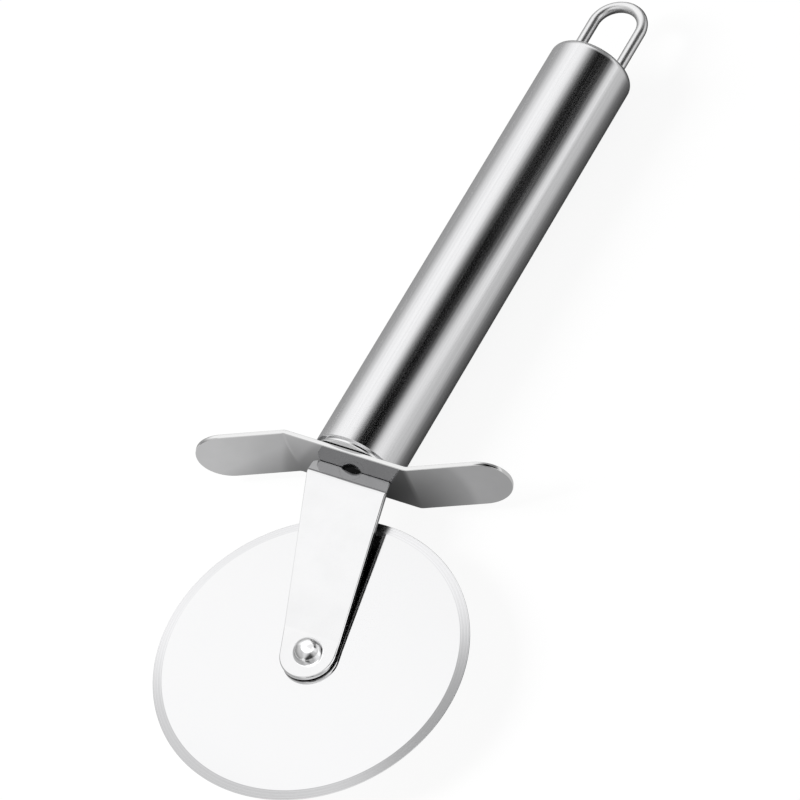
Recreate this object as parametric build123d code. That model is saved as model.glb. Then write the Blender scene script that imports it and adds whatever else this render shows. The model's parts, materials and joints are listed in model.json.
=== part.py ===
# Pizza cutter: a blade wheel riveted to one slanted arm, a Z-bent finger guard and a round tube handle.
# It lies on its side: X runs along the handle's axis from blade to hanging loop, Z runs along the axle.
import os
from math import cos, radians, sin, tan

from build123d import *

# Blade wheel
wheel_diameter = 65.0
wheel_thickness = 0.8
bevel_width = 2.0
edge_thickness = 0.15

# Axle: the blade's centre, seen from the guard's underside on the handle's axis
axle_reach = 41.9
axle_offset = 13.8
shank_diameter = 4.0
dome_diameter = 6.1
dome_height = 2.9
tail_diameter = 8.0
tail_height = 1.0
bush_diameter = 6.0
washer_diameter = 9.6
washer_thickness = 0.25

# Arm: slant and taper seen along the axle, lean away from the blade, upper end folded back to the guard
arm_thickness = 1.1
arm_slant = 16.5
arm_taper = 4.5
arm_lean = 3.7
arm_end_radius = 5.9
arm_flat_margin = 0.55
arm_knee_radius = 14.0
fold_angle = 39.0
fold_radius = 1.6
fold_height = 0.4
end_inner_slant = 24.0
arm_outer_corner = 1.2
arm_inner_corner = 0.8
notch_width = 4.8
notch_depth = 0.85

# Guard strip
guard_thickness = 1.0
guard_width = 13.7
guard_centre_length = 29.0
guard_wing_length = 20.5
guard_bend_angle = 23.5
guard_bend_radius = 2.5
guard_tip_flat = 0.2
guard_edge_bevel = 0.15

# Neck rivet
neck_diameter = 4.5
neck_tail_diameter = 5.4
neck_tail_depth = 0.6
neck_head_diameter = 7.6
neck_head_height = 1.8

# Handle
handle_diameter = 18.6
handle_length = 107.0
handle_wall = 0.6
handle_gap = 0.9
rim_bevel = 0.3
lower_cap_recess = 0.5
lower_cap_wall = 0.8
lower_cap_skirt = 6.0
boss_diameter = 9.6
upper_cap_skirt = 6.0
upper_cap_wall = 0.8
spigot_length = 3.5
shoulder_radius = 2.0

# Hanging loop
wire_diameter = 2.4
loop_spacing = 11.2
loop_reach = 17.5
loop_stub = 3.0

# Fits
running_clearance = 0.05
press_clearance = 0.02

# Places that follow from the sizes above
wheel_radius = wheel_diameter / 2
axle_gap = wheel_thickness / 2 + running_clearance + washer_thickness
arm_face = axle_gap + arm_thickness
guard_under = axle_reach
arm_flat = dome_diameter / 2 + arm_flat_margin
lean_slope = tan(radians(arm_lean))
fold_slope = tan(radians(fold_angle))
fold_x = (fold_height + fold_slope * guard_under - arm_face + lean_slope * arm_flat) / (lean_slope + fold_slope)
fold_z = arm_face + lean_slope * (fold_x - arm_flat)
guard_over = guard_under + guard_thickness
rim_x = guard_over + handle_gap
seam_x = rim_x + handle_length - upper_cap_skirt
top_x = rim_x + handle_length
handle_radius = handle_diameter / 2
bore_radius = handle_radius - handle_wall
axle_point = (0.0, -axle_offset)


def turned(points):
    """A solid of revolution about the handle's axis from (x, radius) points."""
    return revolve(make_face(Polyline(*points, close=True)), Axis.X)


def spun(points):
    """A solid of revolution about the axle from (radius, z) points."""
    profile = make_face(Plane.XZ * Polyline(*points, close=True))
    return Pos(*axle_point, 0) * revolve(profile, Axis.Z)


def axle_ring(outer, inner, bottom, height):
    """A flat ring round the axle."""
    ring = extrude(Circle(outer) - Circle(inner), height)
    return Pos(*axle_point, bottom) * ring


def drill(x, y, radius, depth):
    """A round drill along X, centred on the point (x, y)."""
    return Pos(x, y, 0) * Rot(0, 90, 0) * Cylinder(radius, depth)


def sharp_edges(solid, least_angle=45):
    """The edges at which two faces of a solid meet at a clear angle."""
    sharp = []
    faces = [(face, face.edges()) for face in solid.faces()]
    for edge in solid.edges():
        middle = edge @ 0.5
        normals = [face.normal_at(middle) for face, edges in faces if edge in edges]
        if len(normals) == 2 and normals[0].get_angle(normals[1]) > least_angle:
            sharp.append(edge)
    return sharp


def blade_wheel():
    # Flat disc, ground thin from both sides at the rim
    half = wheel_thickness / 2
    bore = bush_diameter / 2 + running_clearance
    bevel_start = wheel_radius - bevel_width
    edge = edge_thickness / 2
    return spun([
        (bore, -half), (bevel_start, -half), (wheel_radius, -edge),
        (wheel_radius, edge), (bevel_start, half), (bore, half),
    ])


def domed_head(diameter, height):
    # Spherical cap standing on the plane z = 0
    radius = diameter / 2
    sphere_radius = (radius ** 2 + height ** 2) / (2 * height)
    sphere = Pos(0, 0, height - sphere_radius) * Sphere(sphere_radius)
    above = Pos(0, 0, sphere_radius) * Box(2 * diameter, 2 * diameter, 2 * sphere_radius)
    return sphere & above


def axle_rivet():
    # Shank through bush and arm, domed head on the arm and a wide upset head behind the blade
    shank = Pos(0, 0, -axle_gap) * extrude(Circle(shank_diameter / 2), axle_gap + arm_face)
    front = Pos(0, 0, arm_face) * domed_head(dome_diameter, dome_height)
    back = Rot(180, 0, 0) * Pos(0, 0, axle_gap) * domed_head(tail_diameter, tail_height)
    return Pos(*axle_point, 0) * (shank + front + back)


def axle_bush():
    # Sleeve between the arm and the rear head, on which the blade turns
    inner = shank_diameter / 2 + press_clearance
    return axle_ring(bush_diameter / 2, inner, -axle_gap, 2 * axle_gap)


def washer(side):
    # Spacer beside the blade; side is 1 on the arm's inner face and -1 on the rivet's rear head
    inner = bush_diameter / 2 + press_clearance
    bottom = min(side * axle_gap, side * (axle_gap - washer_thickness))
    return axle_ring(washer_diameter / 2, inner, bottom, washer_thickness)


def arm_outline():
    # Arm seen along the axle: round end, straight sides to the fold, then the folded end up to the guard
    points = []
    for side, end_slant in ((1, arm_slant + arm_taper), (-1, end_inner_slant)):
        angle = radians(arm_slant + side * arm_taper)
        foot_x = axle_point[0] - side * arm_end_radius * sin(angle)
        foot_y = axle_point[1] + side * arm_end_radius * cos(angle)
        fold_y = foot_y + (fold_x - foot_x) * tan(angle)
        top_y = fold_y + (guard_under - fold_x) / cos(radians(fold_angle)) * tan(radians(end_slant))
        points.append([(foot_x, foot_y), (fold_x, fold_y), (guard_under, top_y)])
    outer, inner = points
    blade = make_face(Polyline(*outer, *reversed(inner), close=True))
    blade = fillet(blade.vertices().sort_by_distance(outer[2])[0], arm_outer_corner)
    blade = fillet(blade.vertices().sort_by_distance(inner[2])[0], arm_inner_corner)
    return blade + Pos(*axle_point) * Circle(arm_end_radius)


def arm_section():
    # Bent sheet seen from the side: flat at the axle, leaning face and an end folded back to the guard
    mouth = axle_point[0] - 2 * arm_end_radius
    spare = 3 * arm_thickness
    end = (guard_under + spare, fold_height - fold_slope * spare)
    floor = end[1] - spare
    outside = make_face(Polyline(
        (mouth, arm_face), (arm_flat, arm_face), (fold_x, fold_z), end, (end[0], floor), (mouth, floor), close=True,
    ))
    outside = fillet(outside.vertices().sort_by_distance((fold_x, fold_z))[0], fold_radius)
    outside = fillet(outside.vertices().sort_by_distance((arm_flat, arm_face))[0], arm_knee_radius)
    return outside - offset(outside, -arm_thickness, kind=Kind.INTERSECTION)


def arm():
    # One bent sheet on the domed head's side of the blade, its end welded to the guard beside a round notch
    reach = guard_centre_length + wheel_diameter
    sheet = extrude(Plane.XZ * arm_section(), reach, both=True)
    low = fold_height - 2 * arm_thickness
    sheet &= Pos(0, 0, low) * extrude(arm_outline(), fold_z + arm_thickness - low)
    rivet_bore = shank_diameter / 2 + press_clearance
    rivet_hole = Pos(*axle_point, 0) * Cylinder(rivet_bore, 4 * arm_face)
    notch_radius = (notch_width ** 2 / 4 + notch_depth ** 2) / (2 * notch_depth)
    notch = Pos(guard_under + notch_radius - notch_depth, 0, 0) * Cylinder(notch_radius, 4 * fold_z)
    return sheet - rivet_hole - notch


def guard():
    # Z-bent strip: the wing on the +Y side leans to the blade, the other one to the handle
    middle = guard_under + guard_thickness / 2
    half = guard_centre_length / 2
    angle = radians(guard_bend_angle)
    drop = guard_wing_length * sin(angle)
    spread = half + guard_wing_length * cos(angle)
    line = FilletPolyline(
        (middle - drop, spread), (middle, half), (middle, -half), (middle + drop, -spread),
        radius=guard_bend_radius,
    )
    strip = extrude(trace(line, guard_thickness), guard_width / 2, both=True)
    ends = strip.faces().sort_by(Axis.Y)
    corners = []
    for end in (ends[0], ends[-1]):
        corners += [e for e in end.edges() if abs(e.length - guard_thickness) < guard_thickness / 10]
    strip = fillet(corners, (guard_width - guard_tip_flat) / 2)
    strip = chamfer(sharp_edges(strip), min(guard_edge_bevel, guard_thickness / 3))
    rivet_bore = neck_diameter / 2 + press_clearance
    flare = neck_tail_diameter / 2 - neck_diameter / 2
    sink = turned([
        (guard_under - neck_tail_depth, 0), (guard_under - neck_tail_depth, rivet_bore + 2 * flare),
        (guard_under + neck_tail_depth, rivet_bore), (guard_under + neck_tail_depth, 0),
    ])
    return strip - drill(middle, 0, rivet_bore, 4 * guard_thickness) - sink


def neck_rivet():
    # Head inside the lower cap's boss, tail upset flush into the guard's underside
    seat = guard_over + lower_cap_wall
    radius = neck_diameter / 2
    head = neck_head_diameter / 2
    return turned([
        (guard_under, 0), (guard_under, neck_tail_diameter / 2), (guard_under + neck_tail_depth, radius),
        (seat, radius), (seat, head), (seat + neck_head_height, head), (seat + neck_head_height, 0),
    ])


def lower_cap():
    # Pressed cup: recessed end disc, hollow boss that stands on the guard and a skirt inside the tube
    face = rim_x + lower_cap_recess
    back = face + lower_cap_wall
    hole = neck_diameter / 2 + press_clearance
    boss = boss_diameter / 2
    skirt = bore_radius - press_clearance
    return turned([
        (guard_over, hole), (guard_over, boss), (face, boss), (face, skirt),
        (face + lower_cap_skirt, skirt), (face + lower_cap_skirt, skirt - lower_cap_wall),
        (back, skirt - lower_cap_wall), (back, boss - lower_cap_wall),
        (guard_over + lower_cap_wall, boss - lower_cap_wall), (guard_over + lower_cap_wall, hole),
    ])


def handle_tube():
    # Plain tube with its lower rim bevelled
    tube = turned([
        (rim_x, bore_radius), (rim_x, handle_radius), (seam_x, handle_radius), (seam_x, bore_radius),
    ])
    rim = tube.faces().sort_by(Axis.X)[0].edges().sort_by(SortBy.RADIUS)[-1]
    return chamfer(rim, min(rim_bevel, handle_wall / 2))


def upper_cap():
    # Round-shouldered cup, butted on the tube with a spigot inside it and two holes for the loop
    inside = top_x - upper_cap_wall
    spigot = bore_radius - press_clearance
    spigot_end = seam_x - spigot_length
    cup = turned([
        (top_x, 0), (top_x, handle_radius), (seam_x, handle_radius), (seam_x, spigot), (spigot_end, spigot),
        (spigot_end, spigot - upper_cap_wall), (inside, spigot - upper_cap_wall), (inside, 0),
    ])
    rim = cup.faces().sort_by(Axis.X)[-1].edges().sort_by(SortBy.RADIUS)[-1]
    cup = fillet(rim, shoulder_radius)
    wire_bore = wire_diameter / 2 + press_clearance
    for side in (1, -1):
        cup -= drill(inside, side * loop_spacing / 2, wire_bore, 4 * upper_cap_wall)
    return cup


def hanging_loop():
    # Round wire: two straight legs let into the cap and a half-circle top
    half = loop_spacing / 2
    foot = top_x - upper_cap_wall - loop_stub
    crown = top_x + loop_reach - wire_diameter / 2 - half
    legs = [Line((foot, half), (crown, half)), Line((crown, -half), (foot, -half))]
    bow = ThreePointArc((crown, half), (crown + half, 0), (crown, -half))
    section = Plane((foot, half, 0), x_dir=(0, 1, 0), z_dir=(1, 0, 0)) * Circle(wire_diameter / 2)
    return sweep(section, path=Wire([legs[0], bow, legs[1]]))


pieces = {
    "blade_wheel": blade_wheel(),
    "axle_rivet": axle_rivet(),
    "axle_bush": axle_bush(),
    "front_washer": washer(1),
    "rear_washer": washer(-1),
    "arm": arm(),
    "guard": guard(),
    "neck_rivet": neck_rivet(),
    "lower_cap": lower_cap(),
    "handle_tube": handle_tube(),
    "upper_cap": upper_cap(),
    "hanging_loop": hanging_loop(),
}

# The origin lies under the middle of the whole part, on the surface that it rests on
box = Compound(list(pieces.values())).bounding_box()
shift = Pos(-box.center().X, -box.center().Y, -box.min.Z)

os.makedirs("parts", exist_ok=True)
for name, piece in pieces.items():
    export_step(shift * piece, f"parts/{name}.step")
    print(name, round(piece.volume, 2))
print("axle at", (shift * Pos(*axle_point, 0)).position)
print("box", box.size)
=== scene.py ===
import json
import math

import bmesh
import bpy
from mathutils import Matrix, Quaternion, Vector


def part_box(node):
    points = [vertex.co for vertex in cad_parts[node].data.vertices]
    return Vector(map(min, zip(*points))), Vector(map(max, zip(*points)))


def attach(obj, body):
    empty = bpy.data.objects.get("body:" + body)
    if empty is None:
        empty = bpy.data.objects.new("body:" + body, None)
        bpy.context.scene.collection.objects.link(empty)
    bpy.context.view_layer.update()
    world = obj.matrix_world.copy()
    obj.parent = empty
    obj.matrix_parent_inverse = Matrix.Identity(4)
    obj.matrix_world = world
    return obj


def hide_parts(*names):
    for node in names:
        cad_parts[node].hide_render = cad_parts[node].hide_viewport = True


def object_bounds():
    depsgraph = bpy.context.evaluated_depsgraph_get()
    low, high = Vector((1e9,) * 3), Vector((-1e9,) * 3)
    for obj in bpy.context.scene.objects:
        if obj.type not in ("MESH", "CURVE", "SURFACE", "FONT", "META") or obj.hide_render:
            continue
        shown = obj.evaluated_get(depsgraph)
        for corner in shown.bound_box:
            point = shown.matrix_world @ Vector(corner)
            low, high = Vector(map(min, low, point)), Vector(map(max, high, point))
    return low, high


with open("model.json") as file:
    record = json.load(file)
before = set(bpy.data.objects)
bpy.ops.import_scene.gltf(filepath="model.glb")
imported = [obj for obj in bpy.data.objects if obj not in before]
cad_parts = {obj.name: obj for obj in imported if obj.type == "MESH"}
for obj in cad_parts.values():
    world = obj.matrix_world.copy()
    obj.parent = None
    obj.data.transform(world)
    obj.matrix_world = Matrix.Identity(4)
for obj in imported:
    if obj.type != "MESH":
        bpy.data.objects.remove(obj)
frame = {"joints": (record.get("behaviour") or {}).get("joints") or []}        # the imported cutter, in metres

cadLow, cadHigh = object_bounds()  # CAD box
mm = 0.001
sameSpot = 1e-7  # points this close are one point, in metres
clearOf = 1e-6   # a point this far past a line lies beyond it

# places that come from the frame
axleAt = Vector(frame["joints"][0]["pos_m"])
tubeLow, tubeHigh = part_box("handle_tube")
capLow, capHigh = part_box("upper_cap")
loopLow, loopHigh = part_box("hanging_loop")
lowerCapLow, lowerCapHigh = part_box("lower_cap")
handleY = (tubeLow.y + tubeHigh.y) / 2
handleZ = axleAt.z
handleRadius = (capHigh.z - capLow.z) / 2
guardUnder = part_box("arm")[1].x   # the arm's end butts on the guard's underside
guardOver = lowerCapLow.x         # the lower cap's boss stands on the guard's upper side
print("frame read, axle at", tuple(axleAt))


# modelling tools

def pickPiece(piece):
    bpy.ops.object.select_all(action="DESELECT")
    piece.select_set(True)
    bpy.context.view_layer.objects.active = piece


def editPiece(piece):
    pickPiece(piece)
    bpy.ops.object.mode_set(mode="EDIT")


def applyPlace(piece):
    pickPiece(piece)
    bpy.ops.object.transform_apply(location=True, rotation=True, scale=True)


def nameNew(name):
    # the object that was just added
    piece = bpy.context.object
    piece.name = name
    piece.data.name = name
    return piece


def pickVerts(piece, test):
    # piece is in edit mode; picks the points whose place passes the test
    bpy.ops.mesh.select_mode(type="VERT")
    bpy.ops.mesh.select_all(action="DESELECT")
    mesh = bmesh.from_edit_mesh(piece.data)
    for vert in mesh.verts:
        vert.select = test(vert.co)
    mesh.select_flush_mode()
    bmesh.update_edit_mesh(piece.data)


def pickEdges(piece, test):
    bpy.ops.mesh.select_mode(type="EDGE")
    bpy.ops.mesh.select_all(action="DESELECT")
    mesh = bmesh.from_edit_mesh(piece.data)
    for edge in mesh.edges:
        edge.select = test(edge.verts[0].co, edge.verts[1].co)
    mesh.select_flush_mode()
    bmesh.update_edit_mesh(piece.data)


def closeSeams(gap=sameSpot):
    # merges doubled points and turns all faces outwards
    bpy.ops.mesh.select_all(action="SELECT")
    bpy.ops.mesh.remove_doubles(threshold=gap)
    bpy.ops.mesh.normals_make_consistent(inside=False)


def turnRings(name, rings, segments, firstFill=False, lastFill=False):
    # a circle extruded and scaled ring by ring along Z, as turned on a lathe; rings are (z, radius)
    z, radius = rings[0]
    bpy.ops.object.select_all(action="DESELECT")
    bpy.ops.mesh.primitive_circle_add(
        vertices=segments, radius=radius, fill_type="NGON" if firstFill else "NOTHING", location=(0, 0, z))
    piece = nameNew(name)
    applyPlace(piece)
    bpy.ops.object.mode_set(mode="EDIT")
    bpy.ops.mesh.select_mode(type="EDGE")
    bpy.ops.mesh.select_all(action="SELECT")
    for (z0, r0), (z1, r1) in zip(rings, rings[1:]):
        bpy.ops.mesh.extrude_edges_move(TRANSFORM_OT_translate={"value": (0, 0, z1 - z0)})
        bpy.ops.transform.resize(value=(r1 / r0, r1 / r0, 1), center_override=(0, 0, z1))
    if lastFill:
        bpy.ops.mesh.edge_face_add()
    closeSeams()
    bpy.ops.object.mode_set(mode="OBJECT")
    return piece


def arcRings(z, radius, bend, fromDeg, toDeg, steps):
    # rings of a rounded corner: centre (z, radius), bend radius, angles from the Z axis
    rings = []
    for i in range(steps + 1):
        angle = math.radians(fromDeg + (toDeg - fromDeg) * i / steps)
        rings.append((z + bend * math.cos(angle), radius + bend * math.sin(angle)))
    return rings


def layOnHandle(piece):
    # turns a lathe piece so that its Z runs along the handle's axis
    piece.rotation_euler = (0, math.pi / 2, 0)
    piece.location = (0, handleY, handleZ)
    applyPlace(piece)


def layOnAxle(piece):
    piece.location = (axleAt.x, axleAt.y, axleAt.z)
    applyPlace(piece)


def runModifier(piece, kind, **settings):
    pickPiece(piece)
    bpy.ops.object.modifier_add(type=kind)
    modifier = piece.modifiers[-1]
    for key, value in settings.items():
        setattr(modifier, key, value)
    bpy.ops.object.modifier_apply(modifier=modifier.name)


def cutHole(piece, at, along, diameter, depth, sides=96, farDiameter=None):
    # drills a round hole, or a tapered one; along is "X" or "Z"
    turn = (0, math.pi / 2, 0) if along == "X" else (0, 0, 0)
    bpy.ops.object.select_all(action="DESELECT")
    bpy.ops.mesh.primitive_cone_add(
        vertices=sides, radius1=diameter / 2, radius2=(farDiameter or diameter) / 2, depth=depth,
        location=at, rotation=turn)
    drill = bpy.context.object
    applyPlace(drill)
    runModifier(piece, "BOOLEAN", operation="DIFFERENCE", object=drill, solver="EXACT")
    bpy.data.objects.remove(drill)


def softenEdges(piece, width, segments=3, angle=40):
    # small rounds on the cut edges, with flat faces left flat
    runModifier(piece, "BEVEL", width=width, segments=segments, limit_method="ANGLE",
                angle_limit=math.radians(angle), use_clamp_overlap=False, miter_outer="MITER_ARC")


def smoothShade(piece, angle=30, weighted=True):
    # smooth faces, with creases where they meet at more than the angle
    pickPiece(piece)
    bpy.ops.object.shade_smooth_by_angle(angle=math.radians(angle))
    if weighted:
        runModifier(piece, "WEIGHTED_NORMAL", keep_sharp=True, weight=100)


def markFaces(piece, name, test):
    # writes 1 on the faces whose normal passes the test, for the material to read
    mark = piece.data.attributes.new(name, "FLOAT", "FACE")
    for face in piece.data.polygons:
        mark.data[face.index].value = 1.0 if test(face.normal) else 0.0


def dressPiece(piece, body, node, material):
    piece.data.materials.clear()
    piece.data.materials.append(material)
    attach(piece, body)
    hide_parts(node)
    print("made", piece.name, len(piece.data.polygons), "faces")


# materials

def newMaterial(name):
    material = bpy.data.materials.new(name)
    material.use_nodes = True
    tree = material.node_tree
    shader = tree.nodes["Principled BSDF"]
    shader.inputs["Metallic"].default_value = 1.0
    return material, tree, shader


def addNode(tree, kind, **settings):
    node = tree.nodes.new(kind)
    for key, value in settings.items():
        setattr(node, key, value)
    return node


def objectCoords(tree, offset=(0, 0, 0), scale=(1, 1, 1)):
    coords = addNode(tree, "ShaderNodeTexCoord")
    mapping = addNode(tree, "ShaderNodeMapping")
    mapping.inputs["Location"].default_value = offset
    mapping.inputs["Scale"].default_value = scale
    tree.links.new(coords.outputs["Object"], mapping.inputs["Vector"])
    return mapping.outputs["Vector"]


def addNoise(tree, vector, scale, detail=3.0, rough=0.55):
    noise = addNode(tree, "ShaderNodeTexNoise")
    noise.inputs["Scale"].default_value = scale
    noise.inputs["Detail"].default_value = detail
    noise.inputs["Roughness"].default_value = rough
    tree.links.new(vector, noise.inputs["Vector"])
    return noise.outputs["Fac"]


def spread(tree, value, low, high, fromLow=0.3, fromHigh=0.7):
    span = addNode(tree, "ShaderNodeMapRange")
    span.inputs["From Min"].default_value = fromLow
    span.inputs["From Max"].default_value = fromHigh
    span.inputs["To Min"].default_value = low
    span.inputs["To Max"].default_value = high
    tree.links.new(value, span.inputs["Value"])
    return span.outputs["Result"]


def tint(tree, value, dark, light, fromLow=0.3, fromHigh=0.7):
    # a grey between two levels
    level = spread(tree, value, 0.0, 1.0, fromLow, fromHigh)
    mix = addNode(tree, "ShaderNodeMix", data_type="RGBA")
    mix.inputs["A"].default_value = (*dark, 1)
    mix.inputs["B"].default_value = (*light, 1)
    tree.links.new(level, mix.inputs["Factor"])
    return mix.outputs["Result"]


def addBump(tree, shader, height, strength, distance):
    bump = addNode(tree, "ShaderNodeBump")
    bump.inputs["Strength"].default_value = strength
    bump.inputs["Distance"].default_value = distance
    tree.links.new(height, bump.inputs["Height"])
    tree.links.new(bump.outputs["Normal"], shader.inputs["Normal"])


satinFinish = {
    "dark": (0.78, 0.78, 0.79), "light": (0.88, 0.88, 0.89),
    "grainLength": 12.0, "grainFine": 2600.0, "cloud": 45.0, "rough": (0.16, 0.24), "roughFrom": (0.2, 0.8),
    "bumpStrength": 0.12, "bumpDepth": 0.00001,
}


def satinSteel():
    # brushed along the handle: noise with its grain along X
    s = satinFinish
    material, tree, shader = newMaterial("satinSteel")
    grain = addNoise(tree, objectCoords(tree, scale=(s["grainLength"], s["grainFine"], s["grainFine"])), 1.0, 4.0)
    cloud = addNoise(tree, objectCoords(tree), s["cloud"], 3.0)
    tree.links.new(tint(tree, grain, s["dark"], s["light"]), shader.inputs["Base Color"])
    mixed = addNode(tree, "ShaderNodeMath", operation="MULTIPLY_ADD")  # half cloud, half grain
    tree.links.new(cloud, mixed.inputs[0])
    mixed.inputs[1].default_value = 0.5
    tree.links.new(spread(tree, grain, 0.0, 0.5), mixed.inputs[2])
    tree.links.new(spread(tree, mixed.outputs[0], *s["rough"], *s["roughFrom"]), shader.inputs["Roughness"])
    addBump(tree, shader, grain, s["bumpStrength"], s["bumpDepth"])
    return material


mirrorFinish = {
    # the guard's low level is painted shade: the polished guard, and the neck rivet in the same steel, are darkened
    # to the grey of the shaded floor they reflect
    "levels": {"arm": 0.83, "guard": 0.58, "rivet": 0.87, "wire": 0.87, "cap": 0.92}, "cloud": 0.015, "blue": 0.005,
    "rough": {"arm": (0.05, 0.09), "guard": (0.05, 0.09), "rivet": (0.14, 0.18), "wire": (0.27, 0.33),
              "cap": (0.10, 0.14)},
    "wipe": 160.0, "hair": 1800.0, "hairStretch": 60.0, "bumpStrength": 0.03, "bumpDepth": 0.000004,
    # marked faces: the arm's inner face, darkened towards the blade as painted shade, and the guard's cut edge,
    # lighter than the guard's faces, which carry painted shade
    "marked": {"arm": ("shadedInnerFace", 0.25), "guard": ("cutEdge", 0.80)},
}


def mirrorSteel(kind, along):
    # polished sheet or wire: cloudy polish and faint hairlines along one axis
    s = mirrorFinish
    material, tree, shader = newMaterial("mirror" + kind.capitalize())
    stretch = [s["hair"]] * 3
    stretch["XYZ".index(along)] = s["hair"] / s["hairStretch"]
    hair = addNoise(tree, objectCoords(tree, scale=stretch), 1.0, 3.0)
    wipe = addNoise(tree, objectCoords(tree), s["wipe"], 4.0)
    dark, light = s["levels"][kind] - s["cloud"], s["levels"][kind] + s["cloud"]
    colour = tint(tree, wipe, (dark, dark, dark + s["blue"]), (light, light, light + s["blue"]))
    # marked faces take one set grey: painted shade on the arm's inner face, a lighter grey on the guard's cut edge
    if kind in s["marked"]:
        name, level = s["marked"][kind]
        mark = addNode(tree, "ShaderNodeAttribute", attribute_name=name)
        both = addNode(tree, "ShaderNodeMix", data_type="RGBA")
        tree.links.new(mark.outputs["Fac"], both.inputs["Factor"])
        tree.links.new(colour, both.inputs["A"])
        both.inputs["B"].default_value = (level, level, level, 1)
        colour = both.outputs["Result"]
    tree.links.new(colour, shader.inputs["Base Color"])
    tree.links.new(spread(tree, wipe, *s["rough"][kind]), shader.inputs["Roughness"])
    addBump(tree, shader, hair, s["bumpStrength"], s["bumpDepth"])
    return material


bladeFinish = {
    "face": (0.85, 0.85, 0.855), "ground": (0.80, 0.80, 0.81), "groundLight": (0.90, 0.90, 0.91),
    "faceRough": (0.06, 0.108), "groundRough": 0.20, "lines": 5200.0, "faceLines": 0.08, "cloud": 60.0,
    "blend": (-0.05, 0.10),  # mm round the bevel's start
    "bumpStrength": 0.05, "bumpDepth": 0.000006,
}


def bladeSteel(bevelRadius):
    # polished face with turned lines round the axle, and a coarser ground band at the rim
    s = bladeFinish
    material, tree, shader = newMaterial("bladeSteel")
    centred = objectCoords(tree, offset=(-axleAt.x, -axleAt.y, 0))
    parts = addNode(tree, "ShaderNodeSeparateXYZ")
    tree.links.new(centred, parts.inputs[0])
    flat = addNode(tree, "ShaderNodeCombineXYZ")
    tree.links.new(parts.outputs["X"], flat.inputs["X"])
    tree.links.new(parts.outputs["Y"], flat.inputs["Y"])
    radius = addNode(tree, "ShaderNodeVectorMath", operation="LENGTH")
    tree.links.new(flat.outputs[0], radius.inputs[0])
    rings = addNode(tree, "ShaderNodeTexNoise", noise_dimensions="1D")
    rings.inputs["Scale"].default_value = s["lines"]
    rings.inputs["Detail"].default_value = 2.0
    tree.links.new(radius.outputs["Value"], rings.inputs["W"])
    cloud = addNoise(tree, centred, s["cloud"], 3.0)
    onBevel = addNode(tree, "ShaderNodeMapRange", interpolation_type="SMOOTHSTEP")
    onBevel.inputs["From Min"].default_value = bevelRadius + s["blend"][0] * mm
    onBevel.inputs["From Max"].default_value = bevelRadius + s["blend"][1] * mm
    tree.links.new(radius.outputs["Value"], onBevel.inputs["Value"])
    groundColour = tint(tree, rings.outputs["Fac"], s["ground"], s["groundLight"])
    colour = addNode(tree, "ShaderNodeMix", data_type="RGBA")
    colour.inputs["A"].default_value = (*s["face"], 1)
    tree.links.new(onBevel.outputs["Result"], colour.inputs["Factor"])
    tree.links.new(groundColour, colour.inputs["B"])
    tree.links.new(colour.outputs["Result"], shader.inputs["Base Color"])
    rough = addNode(tree, "ShaderNodeMix", data_type="FLOAT")
    tree.links.new(onBevel.outputs["Result"], rough.inputs["Factor"])
    tree.links.new(spread(tree, cloud, *s["faceRough"]), rough.inputs["A"])
    rough.inputs["B"].default_value = s["groundRough"]
    tree.links.new(rough.outputs["Result"], shader.inputs["Roughness"])
    lift = addNode(tree, "ShaderNodeMath", operation="MULTIPLY")
    tree.links.new(rings.outputs["Fac"], lift.inputs[0])
    tree.links.new(spread(tree, onBevel.outputs["Result"], s["faceLines"], 1.0, 0.0, 1.0), lift.inputs[1])
    addBump(tree, shader, lift.outputs[0], s["bumpStrength"], s["bumpDepth"])
    return material


plainFinish = {
    "dark": (0.56, 0.56, 0.57), "light": (0.68, 0.68, 0.69), "rough": (0.22, 0.38), "grain": 900.0,
    "bumpStrength": 0.05, "bumpDepth": 0.000005,
}


def plainSteel():
    # turned and stamped small pieces that hardly show
    s = plainFinish
    material, tree, shader = newMaterial("plainSteel")
    grain = addNoise(tree, objectCoords(tree), s["grain"], 3.0)
    tree.links.new(tint(tree, grain, s["dark"], s["light"]), shader.inputs["Base Color"])
    tree.links.new(spread(tree, grain, *s["rough"]), shader.inputs["Roughness"])
    addBump(tree, shader, grain, s["bumpStrength"], s["bumpDepth"])
    return material


# blade wheel

wheelSizes = {
    "diameter": 65.0, "thickness": 0.8, "bevelWidth": 2.0, "edge": 0.15, "bore": 6.1, "ease": 0.06,
    "segments": 288, "crease": 4.0,
}


def makeBladeWheel():
    w = wheelSizes
    half, edge = w["thickness"] / 2 * mm, w["edge"] / 2 * mm
    outer, bore = w["diameter"] / 2 * mm, w["bore"] / 2 * mm
    bevelStart = outer - w["bevelWidth"] * mm
    ease = w["ease"] * mm  # small land where the grinding starts
    rings = [
        (-half, bore), (-half, bevelStart - ease), (-half + ease * 0.1, bevelStart + ease),
        (-edge, outer - ease), (-edge * 0.5, outer), (edge * 0.5, outer), (edge, outer - ease),
        (half - ease * 0.1, bevelStart + ease), (half, bevelStart - ease), (half, bore), (-half, bore),
    ]
    piece = turnRings("bladeWheel", rings, w["segments"])
    layOnAxle(piece)
    smoothShade(piece, w["crease"])
    dressPiece(piece, "wheel", "blade_wheel", bladeSteel(bevelStart))


# axle rivet, bush and washers

axleSizes = {
    "shank": 4.0, "dome": 6.1, "domeHeight": 2.9, "tail": 8.0, "tailHeight": 1.0,
    "bush": 6.0, "washer": 9.6, "washerThickness": 0.25, "armGap": 0.7, "armThickness": 1.1, "fit": 0.02,
    "ease": 0.05, "sides": 96,
}


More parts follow.
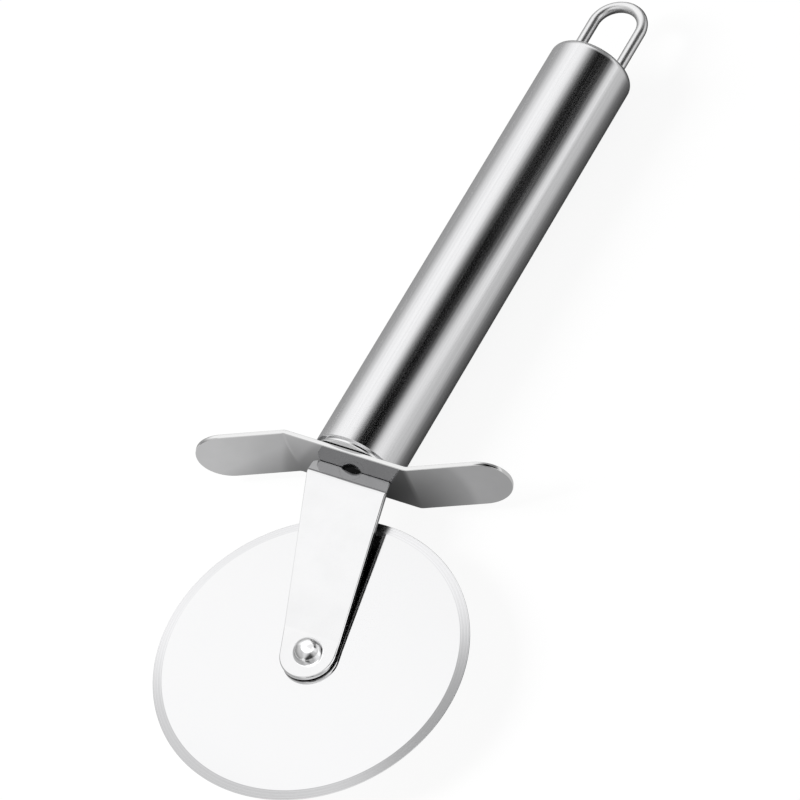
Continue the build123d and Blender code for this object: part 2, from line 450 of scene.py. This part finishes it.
def domeRings(base, diameter, height, sign, steps=14):
    # spherical cap from its rim to near its pole
    radius = diameter / 2
    ball = (radius ** 2 + height ** 2) / (2 * height)
    rimAngle = math.asin(radius / ball)
    rings = []
    for i in range(steps):
        angle = rimAngle * (1 - i / steps)
        rings.append((base + sign * (ball * math.cos(angle) - ball + height), ball * math.sin(angle)))
    return rings


def makeAxleRivet(material):
    a = axleSizes
    gap = a["armGap"] * mm
    face = gap + a["armThickness"] * mm
    front = domeRings(face, a["dome"] * mm, a["domeHeight"] * mm, 1)
    back = domeRings(-gap, a["tail"] * mm, a["tailHeight"] * mm, -1)
    shank = a["shank"] / 2 * mm
    rings = list(reversed(back)) + [(-gap, shank), (face, shank)] + front
    piece = turnRings("axleRivet", rings, a["sides"], firstFill=True, lastFill=True)
    layOnAxle(piece)
    smoothShade(piece, 40, weighted=False)
    dressPiece(piece, "cutter_body", "axle_rivet", material)


def makeAxleRing(name, node, outer, inner, low, high, material):
    ease = axleSizes["ease"] * mm  # broken edges
    rings = [
        (low, inner), (low, outer - ease), (low + ease, outer), (high - ease, outer),
        (high, outer - ease), (high, inner), (low, inner),
    ]
    piece = turnRings(name, rings, axleSizes["sides"])
    layOnAxle(piece)
    smoothShade(piece, 30)
    dressPiece(piece, "cutter_body", node, material)


def makeBushAndWashers(material):
    a = axleSizes
    gap, thick = a["armGap"] * mm, a["washerThickness"] * mm
    bush, washer, fit = a["bush"] / 2 * mm, a["washer"] / 2 * mm, a["fit"] * mm
    makeAxleRing("axleBush", "axle_bush", bush, a["shank"] / 2 * mm + fit, -gap, gap, material)
    makeAxleRing("frontWasher", "front_washer", washer, bush + fit, gap - thick, gap, material)
    makeAxleRing("rearWasher", "rear_washer", washer, bush + fit, -gap, -gap + thick, material)


# arm

armSizes = {
    "thickness": 1.1, "face": 1.8, "slant": 16.5, "taper": 4.5, "endRadius": 5.9, "rivetHole": 4.04,
    "flat": 3.6, "lean": 3.7, "kneeRadius": 14.0, "kneeSteps": 6,
    "fold": 39.0, "foldRadius": 1.6, "foldHeight": 0.4, "foldSteps": 10,
    "endSlants": (21.0, 24.0), "cornerRadii": (1.2, 0.8), "endSteps": 40, "cornerSteps": 12,
    "notchWidth": 4.8, "notchDepth": 0.85, "edgeRound": 0.25,
    "blankWidth": 80.0, "blankSpare": 9.0, "drillDepth": 20.0,
}


def armBends():
    # bend lines on the flat blank as (x from the axle, turn), and the fold's corner on the bent arm
    f = armSizes
    lean, fold, half = math.radians(f["lean"]), math.radians(f["fold"]), f["thickness"] / 2
    top = (guardUnder - axleAt.x) / mm
    foldX = (f["foldHeight"] + math.tan(fold) * top - f["face"] + math.tan(lean) * f["flat"])
    foldX /= math.tan(lean) + math.tan(fold)
    kneeTangent = f["kneeRadius"] * math.tan(lean / 2)
    foldTangent = f["foldRadius"] * math.tan((lean + fold) / 2)
    kneeRun = (f["kneeRadius"] + half) * lean
    foldRun = (f["foldRadius"] - half) * (lean + fold)
    kneeStart = f["flat"] - kneeTangent
    foldStart = kneeStart + kneeRun + (foldX - f["flat"]) / math.cos(lean) - kneeTangent - foldTangent
    lines = []
    for start, run, turn, steps in ((kneeStart, kneeRun, lean, f["kneeSteps"]),
                                    (foldStart, foldRun, -lean - fold, f["foldSteps"])):
        for i in range(steps + 1):
            share = 0.5 if i in (0, steps) else 1.0
            lines.append((start + run * i / steps, turn / steps * share))
    return lines, foldX


def armOutline(foldX):
    # planes of the blank's outline: round end at the axle, two straight sides and the end's inner side
    f = armSizes
    end = f["endRadius"] * mm
    left = math.radians(f["slant"] + f["taper"])
    right = math.radians(f["slant"] - f["taper"])
    steps = f["endSteps"]
    planes = []
    for i in range(steps + 1):
        angle = left + math.pi / 2 + (right - left + math.pi) * i / steps
        out = Vector((math.cos(angle), math.sin(angle), 0))
        planes.append((axleAt + end * out, out))
    foldY = foldX * math.tan(right) - f["endRadius"] / math.cos(right)
    turn = math.radians(f["endSlants"][1])
    planes.append((axleAt + Vector((foldX, foldY, 0)) * mm, Vector((math.sin(turn), -math.cos(turn), 0))))
    return planes


def armCorners(foldX):
    # planes of the two rounded corners beside the guard
    f = armSizes
    planes = []
    for side, radius, endSlant in zip((1, -1), f["cornerRadii"], f["endSlants"]):
        slope = math.tan(math.radians(f["slant"] + side * f["taper"]))
        run = (guardUnder - axleAt.x) / mm - foldX
        rise = run / math.cos(math.radians(f["fold"])) * math.tan(math.radians(endSlant))
        foldY = side * f["endRadius"] * math.sqrt(1 + slope ** 2) + foldX * slope
        turn = math.atan2(run, -rise) if side == 1 else math.atan2(-run, rise)
        out = Vector((math.cos(turn), math.sin(turn), 0))
        along = Vector((run, rise, 0)).normalized()
        inside = axleAt + Vector((foldX, foldY, 0)) * mm - out * radius * mm
        centre = inside + along * ((guardUnder - radius * mm - inside.x) / along.x)
        for i in range(1, f["cornerSteps"]):
            angle = turn * (1 - i / f["cornerSteps"])
            tilt = Vector((math.cos(angle), math.sin(angle), 0))
            planes.append((centre + radius * mm * tilt, tilt))
    return planes


def cutBy(planes):
    for place, out in planes:
        bpy.ops.mesh.select_all(action="SELECT")
        bpy.ops.mesh.bisect(plane_co=place, plane_no=out, use_fill=True, clear_outer=True, threshold=sameSpot)


def makeArm(material):
    f = armSizes
    lines, foldX = armBends()
    low, high = -2 * f["endRadius"], lines[-1][0] + f["blankSpare"]
    middle = axleAt.z + (f["face"] - f["thickness"] / 2) * mm
    bpy.ops.object.select_all(action="DESELECT")
    bpy.ops.mesh.primitive_cube_add(size=1, location=(axleAt.x + (low + high) / 2 * mm, axleAt.y, middle))
    piece = nameNew("slantedArm")
    piece.scale = ((high - low) * mm, f["blankWidth"] * mm, f["thickness"] * mm)
    applyPlace(piece)
    editPiece(piece)
    cutBy(armOutline(foldX))
    for x, turn in lines:
        bpy.ops.mesh.select_all(action="SELECT")
        bpy.ops.mesh.bisect(plane_co=(axleAt.x + x * mm, 0, 0), plane_no=(1, 0, 0), threshold=sameSpot)
    for x, turn in reversed(lines):  # bends the blank, from its end back to the axle
        at = axleAt.x + x * mm
        pickVerts(piece, lambda p: p.x - at > clearOf)
        bpy.ops.transform.rotate(value=turn, orient_axis="Y", center_override=(at, axleAt.y, middle))
    cutBy([(Vector((guardUnder, 0, 0)), Vector((1, 0, 0)))] + armCorners(foldX))
    closeSeams(clearOf)
    bpy.ops.object.mode_set(mode="OBJECT")
    through = f["drillDepth"] * mm
    cutHole(piece, tuple(axleAt), "Z", f["rivetHole"] * mm, through)
    depth = f["notchDepth"]
    notch = (f["notchWidth"] ** 2 / 4 + depth ** 2) / (2 * depth)
    cutHole(piece, (guardUnder + (notch - depth) * mm, handleY, handleZ), "Z", 2 * notch * mm, through)
    softenEdges(piece, f["edgeRound"] * mm, 3)
    smoothShade(piece, 30)
    # the arm's inner face, towards the blade, is marked for painted shade in its material
    markFaces(piece, "shadedInnerFace", lambda n: n.z < -0.5)
    dressPiece(piece, "cutter_body", "arm", material)


# finger guard

guardSizes = {
    "thickness": 1.0, "width": 13.7, "centreLength": 29.0, "wingLength": 20.49, "bendAngle": 23.5,
    "bendRadius": 2.5, "tipFlat": 0.2, "rivetHole": 4.54, "sink": 5.44, "sinkDepth": 0.6,
    "edgeRound": 0.18, "bendSteps": 10, "tipSteps": 28,
}


def makeGuard(material):
    g = guardSizes
    angle = math.radians(g["bendAngle"])
    bend = g["bendRadius"]
    bendStart = g["centreLength"] / 2 - bend * math.tan(angle / 2)
    bendRun = bend * angle
    half = bendStart + bendRun + g["wingLength"] - bend * math.tan(angle / 2)
    middle = guardUnder + g["thickness"] / 2 * mm
    bpy.ops.object.select_all(action="DESELECT")
    bpy.ops.mesh.primitive_cube_add(size=1, location=(middle, handleY, handleZ))
    piece = nameNew("fingerGuard")
    piece.scale = (g["thickness"] * mm, 2 * half * mm, g["width"] * mm)
    applyPlace(piece)
    editPiece(piece)
    pickEdges(piece, lambda a, b: abs(a.x - b.x) > g["thickness"] / 2 * mm)  # the four short edges
    tip = (g["width"] - g["tipFlat"]) / 2 * mm
    bpy.ops.mesh.bevel(offset=tip, segments=g["tipSteps"], profile=0.5, affect="EDGES")
    steps = g["bendSteps"]
    for side in (1, -1):
        for i in range(steps + 1):
            y = handleY + side * (bendStart + bendRun * i / steps) * mm
            bpy.ops.mesh.select_all(action="SELECT")
            bpy.ops.mesh.bisect(plane_co=(0, y, 0), plane_no=(0, 1, 0), threshold=sameSpot)
    for side in (1, -1):
        for i in range(steps, -1, -1):
            y = handleY + side * (bendStart + bendRun * i / steps) * mm
            share = 0.5 if i in (0, steps) else 1.0
            pickVerts(piece, lambda p: (p.y - y) * side > clearOf)
            bpy.ops.transform.rotate(
                value=-angle / steps * share, orient_axis="Z", center_override=(middle, y, handleZ))
    closeSeams()
    bpy.ops.object.mode_set(mode="OBJECT")
    softenEdges(piece, g["edgeRound"] * mm, 3)
    hole, sink, sinkDepth = (g[key] * mm for key in ("rivetHole", "sink", "sinkDepth"))
    cutHole(piece, (middle, handleY, handleZ), "X", hole, 4 * g["thickness"] * mm)
    cutHole(piece, (guardUnder, handleY, handleZ), "X", 2 * sink - hole, 2 * sinkDepth, farDiameter=hole)
    smoothShade(piece, 30)
    markFaces(piece, "cutEdge", lambda n: abs(n.x) < 0.75)
    dressPiece(piece, "cutter_body", "guard", material)


# neck rivet and lower cap

neckSizes = {"shank": 4.5, "tail": 5.4, "tailDepth": 0.6, "head": 7.6, "headHeight": 1.8, "ease": 0.2, "sides": 96}
lowerCapSizes = {
    "wall": 0.8, "collar": 0.5, "gap": 0.15, "skirt": 6.5, "boss": 9.6, "fit": 0.02, "bendSteps": 12, "sides": 128,
}


def makeNeckRivet(material):
    n = neckSizes
    seat = guardOver + lowerCapSizes["wall"] * mm
    high = seat + n["headHeight"] * mm
    shank, tail, head = n["shank"] / 2 * mm, n["tail"] / 2 * mm, n["head"] / 2 * mm
    ease = n["ease"] * mm
    rings = [
        (guardUnder, tail), (guardUnder + n["tailDepth"] * mm, shank), (seat, shank),
        (seat, head), (high - ease, head), (high, head - ease),
    ]
    piece = turnRings("neckRivet", rings, n["sides"], firstFill=True, lastFill=True)
    layOnHandle(piece)
    smoothShade(piece, 30)
    dressPiece(piece, "cutter_body", "neck_rivet", material)


def makeLowerCap(material):
    # cup with a collar and a round shoulder below the tube, on a boss that keeps it just off the guard
    c = lowerCapSizes
    wall, hole = c["wall"] * mm, (neckSizes["shank"] / 2 + c["fit"]) * mm
    end = tubeLow.x + c["skirt"] * mm
    skirt = (lowerCapHigh.z - lowerCapLow.z) / 2
    boss, face = c["boss"] / 2 * mm, guardOver + c["gap"] * mm
    bend = tubeLow.x - c["collar"] * mm - face
    rings = [(guardOver, hole), (guardOver, boss), (face, boss)]
    rings += arcRings(face + bend, skirt - bend, bend, 180, 90, c["bendSteps"])
    rings += [
        (end, skirt), (end, skirt - wall), (guardOver + wall, skirt - wall), (guardOver + wall, hole),
        (guardOver, hole),
    ]
    piece = turnRings("lowerCap", rings, c["sides"])
    layOnHandle(piece)
    smoothShade(piece, 30)
    dressPiece(piece, "cutter_body", "lower_cap", material)


# handle tube, upper cap and hanging loop

handleSizes = {
    "wall": 0.6, "rimRound": 0.25, "shoulder": 2.0, "capWall": 0.8, "spigot": 3.5, "fit": 0.02,
    "segments": 192, "rimSteps": 6, "shoulderSteps": 14, "holeSides": 48,
}


def makeHandleTube(material):
    h = handleSizes
    bore = handleRadius - h["wall"] * mm
    bend = h["rimRound"] * mm
    low, high = tubeLow.x, tubeHigh.x
    rings = arcRings(low + bend, handleRadius - bend, bend, 180, 90, h["rimSteps"])
    rings = [(low, bore)] + rings + [(high, handleRadius), (high, bore), (low, bore)]
    piece = turnRings("handleTube", rings, h["segments"])
    layOnHandle(piece)
    smoothShade(piece, 30)
    dressPiece(piece, "cutter_body", "handle_tube", material)


def makeUpperCap(material):
    h = handleSizes
    top, seam = capHigh.x, tubeHigh.x
    bend = h["shoulder"] * mm
    inside = top - h["capWall"] * mm
    spigot = handleRadius - (h["wall"] + h["fit"]) * mm
    spigotEnd = seam - h["spigot"] * mm
    hollow = spigot - h["capWall"] * mm
    rings = arcRings(top - bend, handleRadius - bend, bend, 0, 90, h["shoulderSteps"])
    rings += [(seam, handleRadius), (seam, spigot), (spigotEnd, spigot), (spigotEnd, hollow), (inside, hollow)]
    piece = turnRings("upperCap", rings, h["segments"], firstFill=True, lastFill=True)
    layOnHandle(piece)
    w = loopSizes
    for side in (1, -1):
        at = (inside, handleY + side * w["spacing"] / 2 * mm, handleZ)
        cutHole(piece, at, "X", (w["wire"] + 2 * h["fit"]) * mm, 4 * h["capWall"] * mm, h["holeSides"])
    smoothShade(piece, 30)
    dressPiece(piece, "cutter_body", "upper_cap", material)


loopSizes = {"wire": 2.4, "spacing": 11.2, "sides": 40, "steps": 56}


def makeHangingLoop(material):
    w = loopSizes
    half, radius = w["spacing"] / 2 * mm, w["wire"] / 2 * mm
    foot = loopLow.x
    crown = loopHigh.x - radius - half
    bpy.ops.object.select_all(action="DESELECT")
    bpy.ops.mesh.primitive_circle_add(
        vertices=w["sides"], radius=radius, fill_type="NOTHING",
        location=(foot, handleY + half, handleZ), rotation=(0, math.pi / 2, 0))
    piece = nameNew("hangingLoop")
    applyPlace(piece)
    editPiece(piece)
    bpy.ops.mesh.select_mode(type="EDGE")
    bpy.ops.mesh.select_all(action="SELECT")
    bpy.ops.mesh.extrude_edges_move(TRANSFORM_OT_translate={"value": (crown - foot, 0, 0)})
    bpy.ops.mesh.spin(steps=w["steps"], angle=math.pi, center=(crown, handleY, handleZ), axis=(0, 0, 1))
    bpy.ops.mesh.extrude_edges_move(TRANSFORM_OT_translate={"value": (foot - crown, 0, 0)})
    for side in (1, -1):
        pickEdges(piece, lambda a, b: max(a.x, b.x) < foot + clearOf and (a.y - handleY) * side > 0)
        bpy.ops.mesh.edge_face_add()
    closeSeams(clearOf)
    bpy.ops.object.mode_set(mode="OBJECT")
    smoothShade(piece, 40, weighted=False)
    dressPiece(piece, "cutter_body", "hanging_loop", material)


# build

makeBladeWheel()
armSteel = mirrorSteel("arm", "X")
# the guard's steel is darkened as painted shade
guardSteel = mirrorSteel("guard", "Y")
rivetSteel = mirrorSteel("rivet", "Z")
wireSteel = mirrorSteel("wire", "X")
capSteel = mirrorSteel("cap", "X")
smallSteel = plainSteel()
satin = satinSteel()
makeAxleRivet(rivetSteel)
makeBushAndWashers(smallSteel)
makeArm(armSteel)
makeGuard(guardSteel)
makeNeckRivet(guardSteel)
makeLowerCap(capSteel)
makeHandleTube(satin)
makeUpperCap(satin)
makeHangingLoop(wireSteel)

# floor, light and camera

studio = {
    "floorSize": 6.0, "floorColour": (0.12, 0.12, 0.12), "floorGlow": 0.903,
    "sheetSize": 0.8, "sheetLift": 0.00005, "sheetFrom": (-0.025, 0.003),
    # painted shadow on the sheet: its level by the distance from the handle's line, and, in sheetLeft and
    # sheetRight, how much of it is lost beside the handle
    "sheetAway": ((0.0, 0.02), (0.0066, 0.08), (0.0126, 0.17), (0.0155, 0.27), (0.021, 0.50), (0.0225, 0.65),
                  (0.0266, 0.68), (0.031, 0.76), (0.037, 0.81), (0.06, 0.83), (0.15, 0.85)),
    "sheetShadowSpot": {"at": (-0.034, 0.0115), "from": (0.006, 0.0095), "level": 0.1},  # painted shadow under the arm's root
    "sheetLeft": {"along": (-0.036, -0.026), "across": (0.010, 0.020), "loss": 0.55},
    "sheetRight": {"across": (-0.030, -0.012), "loss": 0.27},
    "fill": 0.40, "lampPower": 11.0, "lampSize": 0.5, "lampAt": (-0.45, 0.75, 0.8),
    "tentRadius": 0.5, "tentSides": 180, "tentEnds": (-2.5, 1.2), "cardSides": 64,
    # how far the gap turns along X, in degrees, and the share of that turn by the angle
    "tentLean": {"along": (0.204, 0.299), "turn": (-10.0, 10.0), "from": (-5.0, 55.0), "share": (0.3, 1.3)},
    # share of the tent's level along X
    "tentAlong": ((-2.5, 0.50), (-0.6, 0.53), (-0.3, 0.58), (-0.1, 0.64), (0.0, 0.69), (0.05, 0.96),
                  (0.08, 1.055), (0.14, 1.045), (0.20, 1.0)),
    # level of the tent round the handle's axis: degrees from straight up towards -Y, level
    "tent": ((-180, 0.30), (-100, 0.32), (-83, 0.45), (-70, 0.68), (-57, 0.95), (-47, 1.06), (-20, 1.06),
             (-12, 0.98), (-5, 0.62), (2, 0.25), (9, 0.05), (14, 0.0), (44, 0.0), (49, 0.05),
             (55, 0.25), (62, 0.65), (69, 0.90), (77, 0.94), (86, 0.88), (100, 0.70), (180, 0.3)),
    # the same over the blade, where the tent has no gap
    "tentFront": ((-180, 0.30), (-100, 0.32), (-83, 0.45), (-70, 0.68), (-57, 0.95), (-47, 1.06), (-18, 1.06),
                  (-4, 1.35), (4, 1.5), (22, 1.5), (36, 1.1), (60, 0.9), (86, 0.88), (100, 0.70), (180, 0.3)),
    "tentGap": ((-2.5, 0.0), (-0.06, 0.0), (0.02, 1.0), (0.47, 1.0), (0.62, 0.75)),  # how deep the gap is, along X
    # dark corner past the blade, at the right
    "tentCorner": {"along": (-0.12, -0.30), "turn": (35.0, 55.0), "loss": 0.90},
    # cards: one over the rivet, for its highlight only, one at the right, which keeps the tent's gap out of the
    # blade and the arm in other views, and one that closes the tent beyond the loop
    "rivetCard": {"at": (-0.0565, -0.0125, 0.0335), "radius": 0.0250, "level": 0.95},
    "sideCard": {"at": (0.1, -0.35, 0.0), "radius": 0.7, "level": 0.50},
    "endCard": {"at": (1.2, 0.0, 0.0), "radius": 0.5, "level": 0.25},
}


def showsBackground(tree):
    # camera, glossy and transmission rays see the white background
    path = addNode(tree, "ShaderNodeLightPath")
    first = addNode(tree, "ShaderNodeMath", operation="MAXIMUM")
    tree.links.new(path.outputs["Is Camera Ray"], first.inputs[0])
    tree.links.new(path.outputs["Is Glossy Ray"], first.inputs[1])
    second = addNode(tree, "ShaderNodeMath", operation="MAXIMUM")
    tree.links.new(first.outputs[0], second.inputs[0])
    tree.links.new(path.outputs["Is Transmission Ray"], second.inputs[1])
    return second.outputs[0]


def stagePlane(name, size, z):
    bpy.ops.object.select_all(action="DESELECT")
    bpy.ops.mesh.primitive_plane_add(size=size, location=(0, 0, z))
    piece = bpy.context.object
    piece.name = name
    applyPlace(piece)
    return piece


def onlyInReflections(piece):
    piece.visible_camera = False
    piece.visible_diffuse = False
    piece.visible_shadow = False
    piece.visible_transmission = False


def clearTree(name):
    material = bpy.data.materials.new(name)
    material.use_nodes = True
    tree = material.node_tree
    tree.nodes.clear()
    return material, tree, addNode(tree, "ShaderNodeOutputMaterial")


def addRamp(tree, value, levels, low, high):
    # grey levels along a value that runs from low to high
    ramp = addNode(tree, "ShaderNodeValToRGB")
    stops = ramp.color_ramp.elements
    stops.remove(stops[1])
    for i, (place, level) in enumerate(levels):
        stop = stops[0] if i == 0 else stops.new((place - low) / (high - low))
        stop.color = (level, level, level, 1)
    tree.links.new(spread(tree, value, 0.0, 1.0, low, high), ramp.inputs["Fac"])
    return ramp.outputs["Color"]


def makeFloor():
    floor = stagePlane("paleFloor", studio["floorSize"], cadLow.z)
    material, tree, output = clearTree("paleFloor")
    diffuse = addNode(tree, "ShaderNodeBsdfDiffuse")
    diffuse.inputs["Color"].default_value = (*studio["floorColour"], 1)
    glow = addNode(tree, "ShaderNodeEmission")
    level = addNode(tree, "ShaderNodeMath", operation="MULTIPLY")
    tree.links.new(showsBackground(tree), level.inputs[0])
    level.inputs[1].default_value = studio["floorGlow"]
    tree.links.new(level.outputs[0], glow.inputs["Strength"])
    both = addNode(tree, "ShaderNodeAddShader")
    tree.links.new(diffuse.outputs[0], both.inputs[0])
    tree.links.new(glow.outputs[0], both.inputs[1])
    tree.links.new(both.outputs[0], output.inputs["Surface"])
    floor.data.materials.append(material)


def makeSheet():
    # grey sheet under the cutter, darker close to it as painted shadow, seen only in the polished steel
    sheet = stagePlane("greySheet", studio["sheetSize"], cadLow.z + studio["sheetLift"])
    material, tree, output = clearTree("greySheet")
    fromX, fromY = studio["sheetFrom"]
    parts = addNode(tree, "ShaderNodeSeparateXYZ")
    tree.links.new(objectCoords(tree, offset=(-fromX, -fromY, 0)), parts.inputs[0])
    before = addNode(tree, "ShaderNodeMath", operation="MINIMUM")
    tree.links.new(parts.outputs["X"], before.inputs[0])
    before.inputs[1].default_value = 0.0
    flat = addNode(tree, "ShaderNodeCombineXYZ")
    tree.links.new(before.outputs[0], flat.inputs["X"])
    tree.links.new(parts.outputs["Y"], flat.inputs["Y"])
    away = addNode(tree, "ShaderNodeVectorMath", operation="LENGTH")
    tree.links.new(flat.outputs[0], away.inputs[0])
    # painted shadow: the grey falls off towards the handle's line, and more of it is lost beside the handle
    reach = studio["sheetAway"][-1][0]
    grey = addRamp(tree, away.outputs["Value"], studio["sheetAway"], 0.0, reach)
    left, right = studio["sheetLeft"], studio["sheetRight"]
    along = spread(tree, parts.outputs["X"], 0.0, 1.0, *[x - fromX for x in left["along"]])
    across = spread(tree, parts.outputs["Y"], 0.0, left["loss"], *left["across"])
    beyond = spread(tree, parts.outputs["Y"], 1.0 - right["loss"], 1.0, *right["across"])
    loss = addNode(tree, "ShaderNodeMath", operation="MULTIPLY")
    tree.links.new(along, loss.inputs[0])
    tree.links.new(across, loss.inputs[1])
    colour = addNode(tree, "ShaderNodeMix", data_type="RGBA")
    tree.links.new(loss.outputs[0], colour.inputs["Factor"])
    tree.links.new(grey, colour.inputs["A"])
    colour.inputs["B"].default_value = (0, 0, 0, 1)
    # painted shadow spot under the arm's root
    spot = studio["sheetShadowSpot"]
    near = addNode(tree, "ShaderNodeVectorMath", operation="LENGTH")
    spotX, spotY = spot["at"]
    tree.links.new(objectCoords(tree, offset=(-spotX, -spotY, -cadLow.z - studio["sheetLift"])), near.inputs[0])
    strength = addNode(tree, "ShaderNodeMath", operation="MULTIPLY")
    tree.links.new(beyond, strength.inputs[0])
    tree.links.new(spread(tree, near.outputs["Value"], spot["level"], 1.0, *spot["from"]), strength.inputs[1])
    glow = addNode(tree, "ShaderNodeEmission")
    tree.links.new(colour.outputs["Result"], glow.inputs["Color"])
    tree.links.new(strength.outputs[0], glow.inputs["Strength"])
    material.cycles.emission_sampling = "NONE"
    tree.links.new(glow.outputs[0], output.inputs["Surface"])
    sheet.data.materials.append(material)
    onlyInReflections(sheet)


def makeTent():
    # round tent of soft panels with a dark gap, seen only in the steel
    low, high = studio["tentEnds"]
    bpy.ops.object.select_all(action="DESELECT")
    bpy.ops.mesh.primitive_cylinder_add(
        vertices=studio["tentSides"], radius=studio["tentRadius"], depth=high - low, end_fill_type="NOTHING",
        location=((low + high) / 2, handleY, handleZ), rotation=(0, math.pi / 2, 0))
    tent = bpy.context.object
    tent.name = "softTent"
    applyPlace(tent)
    onlyInReflections(tent)
    material, tree, output = clearTree("softTent")
    parts = addNode(tree, "ShaderNodeSeparateXYZ")
    tree.links.new(objectCoords(tree, offset=(0, -handleY, -handleZ)), parts.inputs[0])
    away = addNode(tree, "ShaderNodeMath", operation="MULTIPLY")
    tree.links.new(parts.outputs["Y"], away.inputs[0])
    away.inputs[1].default_value = -1.0
    angle = addNode(tree, "ShaderNodeMath", operation="ARCTAN2")
    tree.links.new(away.outputs[0], angle.inputs[0])
    tree.links.new(parts.outputs["Z"], angle.inputs[1])
    leaning = studio["tentLean"]
    lean = spread(tree, parts.outputs["X"], *[math.radians(d) for d in leaning["turn"]], *leaning["along"])
    share = spread(tree, angle.outputs[0], *leaning["share"], *[math.radians(d) for d in leaning["from"]])
    shift = addNode(tree, "ShaderNodeMath", operation="MULTIPLY")
    tree.links.new(lean, shift.inputs[0])
    tree.links.new(share, shift.inputs[1])
    leaned = addNode(tree, "ShaderNodeMath", operation="SUBTRACT")
    tree.links.new(angle.outputs[0], leaned.inputs[0])
    tree.links.new(shift.outputs[0], leaned.inputs[1])
    around = addRamp(tree, leaned.outputs[0], [(math.radians(d), level) for d, level in studio["tent"]],
                     -math.pi, math.pi)
    front = addRamp(tree, angle.outputs[0], [(math.radians(d), level) for d, level in studio["tentFront"]],
                    -math.pi, math.pi)
    colour = addNode(tree, "ShaderNodeMix", data_type="RGBA")
    tree.links.new(addRamp(tree, parts.outputs["X"], studio["tentGap"], low, high), colour.inputs["Factor"])
    tree.links.new(front, colour.inputs["A"])
    tree.links.new(around, colour.inputs["B"])
    c = studio["tentCorner"]
    corner = addNode(tree, "ShaderNodeMath", operation="MULTIPLY")
    tree.links.new(spread(tree, parts.outputs["X"], 0.0, c["loss"], *c["along"]), corner.inputs[0])
    tree.links.new(spread(tree, angle.outputs[0], 0.0, 1.0, *[math.radians(d) for d in c["turn"]]), corner.inputs[1])
    rest = spread(tree, corner.outputs[0], 1.0, 0.0, 0.0, 1.0)
    strength = addNode(tree, "ShaderNodeMath", operation="MULTIPLY")
    tree.links.new(addRamp(tree, parts.outputs["X"], studio["tentAlong"], low, high), strength.inputs[0])
    tree.links.new(rest, strength.inputs[1])
    glow = addNode(tree, "ShaderNodeEmission")
    tree.links.new(colour.outputs["Result"], glow.inputs["Color"])
    tree.links.new(strength.outputs[0], glow.inputs["Strength"])
    tree.links.new(glow.outputs[0], output.inputs["Surface"])
    tent.data.materials.append(material)


def makeCard(name, turn, seenBy=()):
    # round card that glows, seen only in the steel; turn is in degrees
    c = studio[name]
    bpy.ops.object.select_all(action="DESELECT")
    bpy.ops.mesh.primitive_circle_add(
        vertices=studio["cardSides"], radius=c["radius"], fill_type="NGON", location=c["at"],
        rotation=[math.radians(d) for d in turn])
    card = bpy.context.object
    card.name = name
    applyPlace(card)
    onlyInReflections(card)
    material, tree, output = clearTree(name)
    material.cycles.emission_sampling = "NONE"
    card.data.materials.append(material)
    glow = addNode(tree, "ShaderNodeEmission")
    glow.inputs["Strength"].default_value = c["level"]
    tree.links.new(glow.outputs[0], output.inputs["Surface"])
    if seenBy:
        # lights these pieces only, and the others see through it
        receivers = bpy.data.collections.new(name)
        for piece in seenBy:
            receivers.objects.link(bpy.data.objects[piece])
        card.light_linking.receiver_collection = receivers
        clear = addNode(tree, "ShaderNodeBsdfTransparent")
        both = addNode(tree, "ShaderNodeAddShader")
        tree.links.new(glow.outputs[0], both.inputs[0])
        tree.links.new(clear.outputs[0], both.inputs[1])
        tree.links.new(both.outputs[0], output.inputs["Surface"])


def makeWorld():
    world = bpy.data.worlds.new("whiteRoom")
    bpy.context.scene.world = world
    world.use_nodes = True
    tree = world.node_tree
    tree.nodes.clear()
    output = addNode(tree, "ShaderNodeOutputWorld")
    room = addNode(tree, "ShaderNodeBackground")
    room.inputs["Color"].default_value = (1, 1, 1, 1)
    level = spread(tree, showsBackground(tree), studio["fill"], 1.0, 0.0, 1.0)
    tree.links.new(level, room.inputs["Strength"])
    tree.links.new(room.outputs[0], output.inputs["Surface"])


def makeLamp():
    data = bpy.data.lights.new("softbox", "AREA")
    data.shape = "SQUARE"
    data.size = studio["lampSize"]
    data.energy = studio["lampPower"]
    lamp = bpy.data.objects.new("softbox", data)
    bpy.context.scene.collection.objects.link(lamp)
    lamp.location = studio["lampAt"]
    lamp.rotation_euler = (-Vector(studio["lampAt"])).to_track_quat("-Z", "Y").to_euler()
    lamp.visible_glossy = False


photoView = {
    "target": (-7.27, 5.21, 9.3), "azimuth": -41.419, "elevation": 51.159, "roll": 24.654,
    "distance": 957.97, "lens": 211.82, "sensor": 36.0,
}


def makeCamera():
    v = photoView
    azimuth, elevation = math.radians(v["azimuth"]), math.radians(v["elevation"])
    back = Vector((math.sin(azimuth) * math.cos(elevation), -math.cos(azimuth) * math.cos(elevation),
                   math.sin(elevation)))
    data = bpy.data.cameras.new("photoCamera")
    data.lens, data.sensor_width = v["lens"], v["sensor"]
    data.clip_start, data.clip_end = 0.01, 50
    camera = bpy.data.objects.new("photoCamera", data)
    bpy.context.scene.collection.objects.link(camera)
    camera.location = Vector(v["target"]) * mm + back * v["distance"] * mm
    level = (-back).to_track_quat("-Z", "Y")
    roll = Quaternion((0, 0, 1), math.radians(-v["roll"]))
    camera.rotation_mode = "QUATERNION"
    camera.rotation_quaternion = level @ roll
    bpy.context.scene.camera = camera


makeFloor()
makeSheet()
makeTent()
makeCard("rivetCard", (0, 0, 0), seenBy=["axleRivet"])
makeCard("sideCard", (90, 0, 0), seenBy=["bladeWheel", "slantedArm"])
makeCard("endCard", (0, 90, 0))
makeWorld()
makeLamp()
makeCamera()
bpy.context.scene.view_settings.view_transform = "Standard"
print("stage set")
